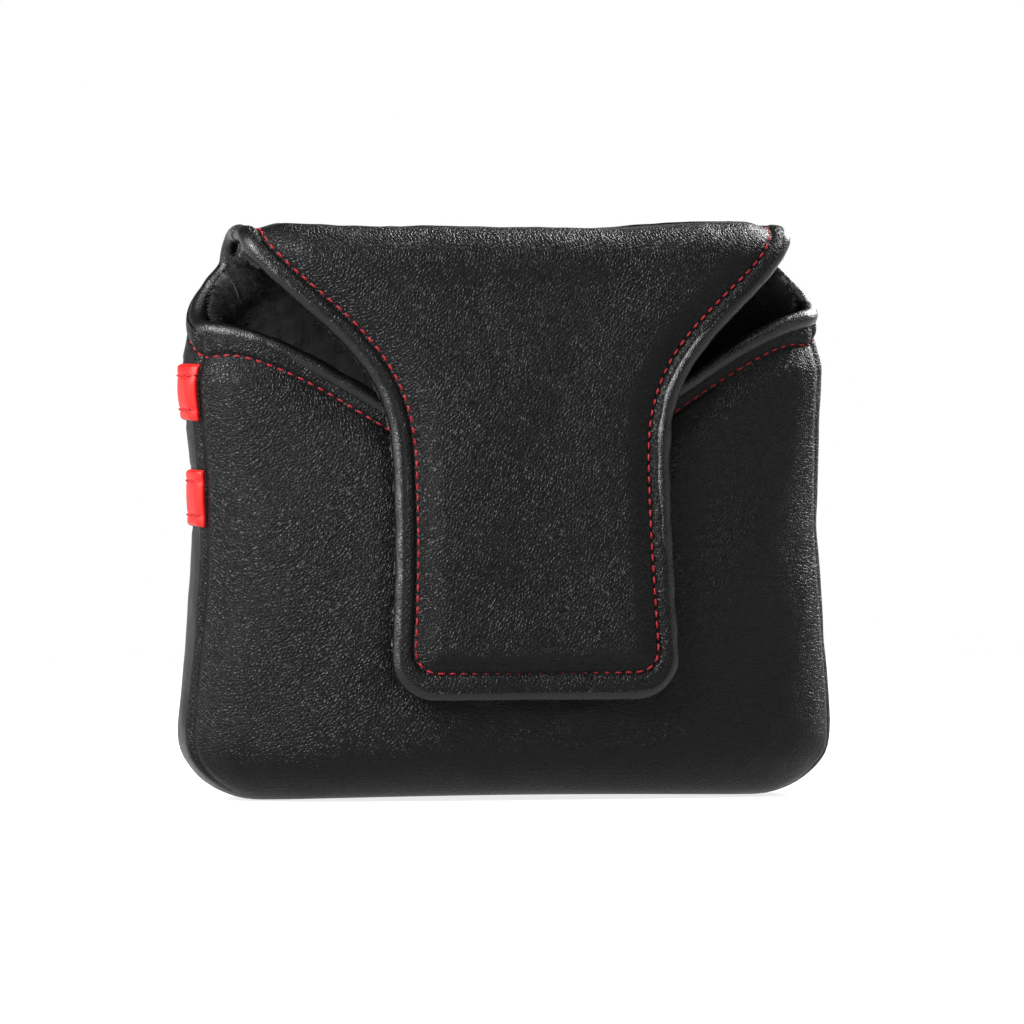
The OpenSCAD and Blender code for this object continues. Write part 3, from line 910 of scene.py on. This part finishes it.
def hole_material():
    """Painted shade of a needle hole: a dark colour on the hole's dome that stands in for its shadow."""
    material, tree, shader = new_material("needle_hole_shade")
    fibrous = noise(tree, object_coords(tree), 1500, 2.0)
    add_bump(tree, shader, fibrous, 0.5, 0.00005)
    # Dark red painted shade of the hole, varied at random.
    colour = blend_colours(tree, fibrous, srgb(30, 4, 4), srgb(64, 8, 8))
    rough = ramp(tree, fibrous, 0.8, 1.0)
    set_inputs(tree, shader, Base_Color=colour, Roughness=rough, Specular_IOR_Level=0.1)
    return material


def cord_material():
    material, tree, shader = new_material("filler_cord")
    where = object_coords(tree)
    add_bump(tree, shader, strands(tree, where, 600, 3.0), 0.8, 0.0002)
    colour = blend_colours(tree, noise(tree, where, 300), srgb(205, 203, 192), srgb(232, 230, 222))
    set_inputs(tree, shader, Base_Color=colour, Roughness=0.8)
    return material


def magnet_material():
    material, tree, shader = new_material("magnet")
    where = object_coords(tree)
    patchy = noise(tree, where, 120)
    add_bump(tree, shader, noise(tree, where, 900, 5.0, 0.7), 0.3, 0.00002)
    colour = blend_colours(tree, patchy, srgb(168, 170, 174), srgb(196, 198, 202))
    set_inputs(tree, shader, Base_Color=colour, Roughness=ramp(tree, patchy, 0.22, 0.42), Metallic=1.0)
    return material


stripe_leather = stripe_material()
thread_look = thread_material("thread", srgb(86, 6, 12), srgb(120, 13, 21))
stripe_thread = thread_material("stripe_thread", srgb(112, 7, 7), srgb(146, 15, 13))
hole_shade_look = hole_material()
plush_look = plush_material()
foam_look = foam_material()
cord_look = cord_material()
magnet_look = magnet_material()


def dress(piece, look, slot, *nodes):
    """The piece's material, and the CAD nodes that it stands for, which it hides; slot is not used."""
    piece.data.materials.append(look)
    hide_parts(*nodes)


# ---- Stripes ----

ROW_SHARE = 0.6
STRIPE_START_U, STRIPE_END_GAP, STRIPE_COLUMNS, STRIPE_ROWS = -1.5, 0.6, 300, 41
STRIPE_SINK = 0.25
STRIPE_ROUND, STRIPE_PULL, STRIPE_PUFF, STRIPE_LIFT = 0.7, 0.22, 0.16, 0.1
stripe_u = spaced(180 - STRIPE_START_U, 360 + SEAM_U - STRIPE_END_GAP, STRIPE_COLUMNS, 0.6)


def on_front(base, normal):
    """A point on the front's relief, from its place on the plain surface."""
    return base + normal * front_relief(base)[..., None]


def wall_normal(u, z, step=0.05):
    across = skin(u + step, z) - skin(u - step, z)
    up = skin(u, z + step) - skin(u, z - step)
    return unit(np.cross(across, up))


def stripe_z(line, across):
    """Heights along a stripe, at a share across from -1 to 1."""
    level, slope, bend = line
    x = half_w(level) * ring_x(stripe_u)
    way = slope + 2 * bend * x
    return level + slope * x + bend * x * x + across * STRIPE_W / 2 * np.sqrt(1 + way * way)


def stripe_height(across):
    """Thickness of the stripe: rounded edges, pulled in at its two rows of stitches."""
    edge = STRIPE_W / 2 * (1 - abs(across))
    rounded = math.sqrt(max(0.0, 1 - (1 - min(1.0, edge / STRIPE_ROUND)) ** 2))
    pulled = STRIPE_PULL * math.exp(-(((abs(across) - ROW_SHARE) * STRIPE_W / 2 / 0.5) ** 2))
    puff = STRIPE_PUFF * math.exp(-((across / 0.38) ** 2))
    return STRIPE_LIFT + (STRIPE_T + 0.05) * rounded - pulled + puff


def stripe_row(line, across, height):
    """Points and normals along a stripe, at a height over the leather."""
    z = stripe_z(line, across)
    normal = wall_normal(stripe_u, z)
    return on_front(skin(stripe_u, z), normal) + normal * height, normal


edge_shares = np.sin(np.linspace(-np.pi / 2, np.pi / 2, STRIPE_ROWS))
for label, line in STRIPE_LINES.items():
    top = np.array([stripe_row(line, across, stripe_height(across))[0] for across in edge_shares])
    under = np.array([stripe_row(line, across, -STRIPE_SINK)[0] for across in edge_shares])
    verts, faces, rim = shell(settle(top), settle(under))
    stripe = make_object(f"stripe_{label}", verts, faces[:, ::-1])
    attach(stripe, "root")
    dress(stripe, stripe_leather, "stripe_leather", f"{label}_stripe")

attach(rear_leather, "root")
dress(front_leather, black_leather, "black_leather", "front_panel")
dress(rear_leather, black_leather, "black_leather", "rear_panel")
dress(flap_leather, black_leather, "black_leather", "flap_bridge_panel", "flap_tongue_panel")

# ---- Foam and plush under the leather ----

FOAM_LOW, FOAM_HIGH = LEATHER_T + 0.03, LEATHER_T + FOAM_T - 0.03
PLUSH_LOW, PLUSH_HIGH = LEATHER_T + FOAM_T, WALL_T


def pile_relief(p):
    return 0.28 * pile_ripple(p) + 0.16 * tuft_ripple(p)


def every_second(values):
    """Every second value, and always the last."""
    kept = values[::2]
    return kept if kept[-1] == values[-1] else np.append(kept, values[-1])


FOLD_OVERLAP = 14  # rows of the wall that the fold's padding and lining cover too
front_rows, front_columns = map(np.arange, front_grid.shape[:2])
rear_rows, rear_columns = map(np.arange, rear_grid.shape[:2])
flap_rows, flap_columns = map(np.arange, flap_grid.shape[:2])
wall_rows = front_rows[: len(front_wall)]
overlap_rows = front_rows[len(front_wall) - FOLD_OVERLAP :]
fold_columns = np.flatnonzero(is_face)[::2]

# Label, CAD node, sheet, its rows and columns, how many of them the foam leaves off, extra depth of the plush
PARTS = (
    ("front", "front", front, every_second(wall_rows), every_second(front_columns), (5, 0), 0.0),
    ("fold", "flap_bridge", front, overlap_rows, fold_columns, (1, 2), 0.35),
    ("rear", "rear", rear, every_second(rear_rows), every_second(rear_columns), (5, 0), 0.0),
    ("flap", "flap_tongue", flap, flap_rows, every_second(flap_columns), (10, 6), 0.0),
)
RIM_REACH = 9.0
FIBRE_R, FIBRE_ROOT = 0.075, 0.5
FIBRE_LOW, FIBRE_HIGH = 0.5, 1.25
FIBRE_COUNT = {"front": 9000, "fold": 4000, "rear": 9000, "flap": 9000}


def fibres(surface, normals, near, count):
    """Short fine tapering hairs standing on a grid's surface where near says so, as verts and faces."""
    flat, up, weight = surface.reshape(-1, 3), -normals.reshape(-1, 3), near.reshape(-1)
    chosen = random.choice(len(flat), count, p=weight / weight.sum())
    root = flat[chosen] + random.normal(0, 0.35, (count, 3))
    lean = unit(up[chosen] + random.normal(0, 0.45, (count, 3)))
    side = unit(np.cross(lean, random.normal(size=(count, 3))))
    other = np.cross(lean, side)
    long = random.uniform(FIBRE_LOW, FIBRE_HIGH, count)[:, None]
    foot = root - lean * FIBRE_ROOT
    ring = [foot + FIBRE_R * (side * math.cos(a) + other * math.sin(a)) for a in np.radians((0, 120, 240))]
    verts = np.stack([*ring, root + lean * long], axis=1).reshape(-1, 3)
    base = np.arange(count)[:, None] * 4
    one = np.array([[0, 1, 3], [1, 2, 3], [2, 0, 3], [0, 2, 1]])
    return verts, (base[:, None] + one).reshape(-1, 3)


def add_fibres(piece, verts, faces):
    """Adds the fibres to the piece's mesh."""
    hairs = bpy.data.meshes.new("hairs")
    hairs.from_pydata((verts * MM).tolist(), [], faces.tolist())
    both = bmesh.new()
    both.from_mesh(piece.data)
    both.from_mesh(hairs)
    both.to_mesh(piece.data)
    both.free()
    bpy.data.meshes.remove(hairs)


for label, node, sheet, rows, columns, (off_rows, off_columns), proud in PARTS:
    part = np.ix_(rows, columns)
    foam_part = np.ix_(rows[: len(rows) - off_rows], columns[off_columns : len(columns) - off_columns])
    foam = sheet.layer(f"foam_{label}", FOAM_LOW, FOAM_HIGH, foam_part)
    plush = sheet.layer(f"plush_{label}", PLUSH_LOW, PLUSH_HIGH + proud, part, inner_relief=pile_relief)
    rim_distance = np.minimum(mouth_distance(sheet.rest[part]), flap_distance(sheet.rest[part]))
    shown = np.exp(-((rim_distance / RIM_REACH) ** 2))
    surface = sheet.at_depth(PLUSH_HIGH + proud, part)
    hairs, hair_faces = fibres(surface, sheet.normals[part], shown, FIBRE_COUNT[label])
    add_fibres(plush, settle(hairs), hair_faces)
    dress(foam, foam_look, "foam", f"{node}_padding")
    dress(plush, plush_look, "plush", f"{node}_lining")

# ---- Piping ----

MOUTH_ROLL, FLAP_ROLL, CORD_R = 1.95, 1.8, 0.9
ROLL_WOBBLE = 0.06
FLAP_NODES = ("flap_bridge_piping{}_left", "flap_bridge_piping{}_right", "tongue_piping{}")
for name, path, roll_r, nodes in (
    ("mouth", mouth_path, MOUTH_ROLL, ("mouth_piping{}",)),
    ("flap", flap_path, FLAP_ROLL, FLAP_NODES),
):
    for kind, radius, wobble, word, slot, look in (
        ("piping", roll_r, ROLL_WOBBLE, "", "piping_leather", roll_leather),
        ("cord", CORD_R, 0.0, "_cord", "filler_cord", cord_look),
    ):
        roll = make_object(f"{kind}_{name}", *tube(settle(path), radius, wobble))
        dress(roll, look, slot, *[node.format(word) for node in nodes])

# ---- Topstitching, one short thread for each stitch ----

STITCH_PITCH, STITCH_LONG, THREAD_R = 2.4, 1.85, 0.26
STRIPE_PITCH, STRIPE_LONG, STRIPE_THREAD_R = 3.4, 2.7, 0.27
FIRST_STITCH, STITCH_RINGS, STITCH_SIDES = 0.4, 7, 7
STITCH_SINK, STITCH_RISE, STITCH_FLAT = 0.26, 0.5, 0.85
HOLE_R, HOLE_LONG, HOLE_SIDES = 0.34, 1.3, 8
HOLE_SINK, HOLE_SHOULDER, HOLE_TOP = 0.12, 0.05, 0.07


def stitch_starts(lengths, pitch, long):
    return np.arange(FIRST_STITCH, lengths[-1] - long, pitch)


def stitch_row(path, normals, pitch=STITCH_PITCH, long=STITCH_LONG, radius=THREAD_R):
    """Stitches along a path over a surface; each dips into the leather at both ends."""
    lengths = path_lengths(path)
    cosine, sine = circle(STITCH_SIDES)
    share = np.linspace(0, 1, STITCH_RINGS)
    parts = []
    for start in stitch_starts(lengths, pitch, long):
        start = start + random.uniform(-0.06, 0.06)
        at = start + share * long * random.uniform(0.94, 1.03)
        line = at_length(path, lengths, at)
        up = unit(at_length(normals, lengths, at))
        side = np.cross(unit(np.gradient(line, axis=0)), up)
        slant = random.uniform(-0.05, 0.05) * (share - 0.5)
        rise = STITCH_RISE * np.sin(np.pi * share) ** 0.6 - STITCH_SINK
        line = line + up * rise[:, None] + side * slant[:, None]
        size = radius * (0.72 + 0.28 * np.sin(np.pi * share) ** 0.5)
        ring = up[:, None] * cosine * STITCH_FLAT + side[:, None] * sine
        verts = (line[:, None] + ring * size[:, None, None]).reshape(-1, 3)
        parts.append((verts, ring_faces(STITCH_RINGS, STITCH_SIDES)))
    return parts


def needle_holes(path, normals, pitch, long):
    """A small dome in the gap after each stitch, where the needle went in; its dark colour is painted shade
    of the hole.
    """
    lengths = path_lengths(path)
    cosine, sine = circle(HOLE_SIDES)
    low = np.arange(HOLE_SIDES)
    after = np.roll(low, -1)
    quads = np.stack([low, after, after + HOLE_SIDES, low + HOLE_SIDES], axis=1)
    tops = np.stack([low + HOLE_SIDES, after + HOLE_SIDES, np.full(HOLE_SIDES, 2 * HOLE_SIDES)], axis=1)
    parts = []
    for at in stitch_starts(lengths, pitch, long) + long + (pitch - long) / 2:
        middle = at_length(path, lengths, at)
        up = at_length(normals, lengths, at)
        ahead = unit(at_length(path, lengths, at + 0.1) - middle)
        ring = HOLE_R * (ahead * HOLE_LONG * cosine + np.cross(ahead, up) * sine)
        foot = middle + ring - up * HOLE_SINK
        shoulder = middle + ring * 0.7 + up * HOLE_SHOULDER
        verts = np.concatenate([foot, shoulder, [middle + up * HOLE_TOP]])
        parts.append((verts, [*quads, *tops, low[::-1]]))
    return parts


def surface_line(line, relief):
    """The raised surface and its normals along a line drawn on the plain surface."""
    tangent = unit(np.gradient(line, axis=0))
    over_top = ease((line[:, 2] - FOLD_Z) / FOLD_R)
    out = unit((line - (0, SHIFT_Y, 0)) * (0.16, 1, 0)) * (1 - over_top)[:, None]
    out[:, 2] += over_top
    normal = unit(out - tangent * np.sum(out * tangent, axis=1)[:, None])
    return line + normal * relief(line)[:, None], normal


def mouth_row_relief(p):
    on_front_panel = p[:, 1] < half_d(p[:, 2]) * ring_y(SEAM_U) + SHIFT_Y
    return np.where(on_front_panel, front_relief(p), rear_relief(p))


def add_stitches(name, parts, look, *nodes):
    verts, faces = join_parts(parts)
    threads = make_object(name, settle(verts), faces)
    dress(threads, look, "thread", *nodes)
    return threads


mouth_row = stitch_row(*surface_line(mouth_stitch_path, mouth_row_relief))
add_stitches("stitches_mouth", mouth_row, thread_look, "mouth_topstitch")
flap_row = stitch_row(*surface_line(flap_line(SIDE_STITCH, END_STITCH, 0.0), flap_relief))
flap_row_nodes = ("flap_bridge_topstitch_left", "flap_bridge_topstitch_right", "tongue_topstitch")
add_stitches("stitches_flap", flap_row, thread_look, *flap_row_nodes)

for label, line in STRIPE_LINES.items():
    rows = [stripe_row(line, across, stripe_height(across)) for across in (-ROW_SHARE, ROW_SHARE)]
    parts = []
    for path, normals in rows:
        parts += stitch_row(path, normals, STRIPE_PITCH, STRIPE_LONG, STRIPE_THREAD_R)
    thread_faces = sum(len(faces) for verts, faces in parts)
    for path, normals in rows:
        parts += needle_holes(path, normals, STRIPE_PITCH, STRIPE_LONG)
    threads = add_stitches(f"stitches_stripe_{label}", parts, stripe_thread, f"{label}_stripe_stitching")
    # The holes' domes take the dark material of painted hole shade.
    threads.data.materials.append(hole_shade_look)
    is_hole = np.arange(len(threads.data.polygons)) >= thread_faces
    threads.data.polygons.foreach_set("material_index", is_hole.astype(int))
    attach(threads, "root")

# ---- Fold lines, from start to end in metres; the pieces at the folds only get their transforms baked ----

FRONT_BEND_Y, BRIDGE_TOP_Y, REAR_BEND_Y = -0.0172, -0.00925, 0.0105
FOLD_BEND_Y = -0.01675
BEND_UNDER, BEND_OVER = 0.002, 0.007
fold_z, top_z = FOLD_Z * MM, BODY_H * MM
FRONT_BEND = ((0, FRONT_BEND_Y, fold_z - BEND_UNDER), (0, FRONT_BEND_Y, fold_z + BEND_OVER))
FOLD_BEND = ((0, FOLD_BEND_Y, fold_z), (0, BRIDGE_TOP_Y, top_z))
REAR_BEND = ((0, REAR_BEND_Y, top_z), (0, REAR_BEND_Y + FOLD_R * MM, fold_z))


def bend(names, first_body, second_body, place):
    for name in names:
        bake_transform(bpy.data.objects[name])


bend(("leather_front", "piping_mouth", "cord_mouth", "stitches_mouth"), "root", "flap_bridge", FRONT_BEND)
bend(("foam_fold", "plush_fold"), "root", "flap_bridge", FOLD_BEND)
bend(("leather_flap", "piping_flap", "cord_flap", "stitches_flap"), "flap_bridge", "flap_tongue", REAR_BEND)
bend(("foam_flap", "plush_flap"), "flap_bridge", "flap_tongue", REAR_BEND)
for name in ("foam_front", "foam_rear", "plush_front", "plush_rear"):
    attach(bpy.data.objects[name], "root")

# ---- Magnets, the CAD nodes that stay ----

for name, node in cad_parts.items():
    if "magnet" in name:
        node.data.materials.clear()
        node.data.materials.append(magnet_look)

# ---- Floor, sky, lights and camera ----

FLOOR_HALF, FLOOR_TONE, FLOOR_GLOW = 0.7, srgb(120, 120, 120), 0.8
SKY_LOW, SKY_HIGH, SKY_LOW_Z, SKY_HIGH_Z = 1.0, 0.12, 0.07, 0.25
VIEW_AZIMUTH, VIEW_ELEVATION = 168.0, 1.5
CAMERA_DISTANCE, CAMERA_LENS, CAMERA_SENSOR = 2.2, 360.0, 36.0
centre = Vector((cad_low + cad_high) / 2)


def add_floor():
    """A pale floor that gives off a little light, so that it renders white."""
    mesh = bpy.data.meshes.new("floor")
    corners = [(x * FLOOR_HALF, y * FLOOR_HALF, 0) for x, y in ((-1, -1), (1, -1), (1, 1), (-1, 1))]
    mesh.from_pydata(corners, [], [(0, 1, 2, 3)])
    look, tree, shader = new_material("floor")
    set_inputs(tree, shader, Base_Color=(*FLOOR_TONE, 1), Roughness=0.9)
    set_inputs(tree, shader, Emission_Color=(1, 1, 1, 1), Emission_Strength=FLOOR_GLOW)
    mesh.materials.append(look)
    add_to_scene("floor", mesh)


def add_sky():
    """A white world, bright near the horizon and dim above it."""
    world = bpy.data.worlds.new("studio")
    bpy.context.scene.world = world
    world.use_nodes = True
    sky = world.node_tree
    light = sky.nodes["Background"]
    light.inputs["Color"].default_value = (1, 1, 1, 1)
    direction = add_node(sky, "ShaderNodeTexCoord").outputs["Generated"]
    height = add_node(sky, "ShaderNodeSeparateXYZ")
    sky.links.new(direction, height.inputs["Vector"])
    strength = ramp(sky, height.outputs["Z"], SKY_LOW, SKY_HIGH, SKY_LOW_Z, SKY_HIGH_Z)
    sky.links.new(strength, light.inputs["Strength"])


def aim(thing, azimuth, elevation, distance):
    """Places a lamp or camera round the object's centre, turned towards it."""
    a, e = math.radians(azimuth), math.radians(elevation)
    way = Vector((math.sin(a) * math.cos(e), -math.cos(a) * math.cos(e), math.sin(e)))
    thing.location = centre + distance * way
    thing.rotation_mode = "QUATERNION"
    thing.rotation_quaternion = (thing.location - centre).to_track_quat("Z", "Y")


def add_light(name, turn, elevation, distance, size, power):
    """A softbox, turned round the object from the camera's side; size is its width and height."""
    light = bpy.data.lights.new(name, "AREA")
    light.shape = "RECTANGLE"
    light.size, light.size_y = size
    light.energy = power
    aim(add_to_scene(name, light), VIEW_AZIMUTH + turn, elevation, distance)


def add_camera():
    camera = bpy.data.cameras.new("camera")
    camera.lens = CAMERA_LENS
    camera.sensor_width = CAMERA_SENSOR
    eye = add_to_scene("camera", camera)
    aim(eye, VIEW_AZIMUTH, VIEW_ELEVATION, CAMERA_DISTANCE)
    bpy.context.scene.camera = eye


add_floor()
add_sky()
add_light("key", turn=-42, elevation=34, distance=0.9, size=(0.4, 0.5), power=28)
add_light("side", turn=-84, elevation=14, distance=0.9, size=(0.3, 0.6), power=4)
add_light("fill", turn=66, elevation=20, distance=1.1, size=(0.4, 0.7), power=2)
add_light("top", turn=0, elevation=68, distance=1.0, size=(0.9, 0.4), power=7)
add_light("front_key", turn=-180 - 42, elevation=34, distance=0.9, size=(0.4, 0.5), power=20)
add_camera()
bpy.context.scene.view_settings.view_transform = "Standard"
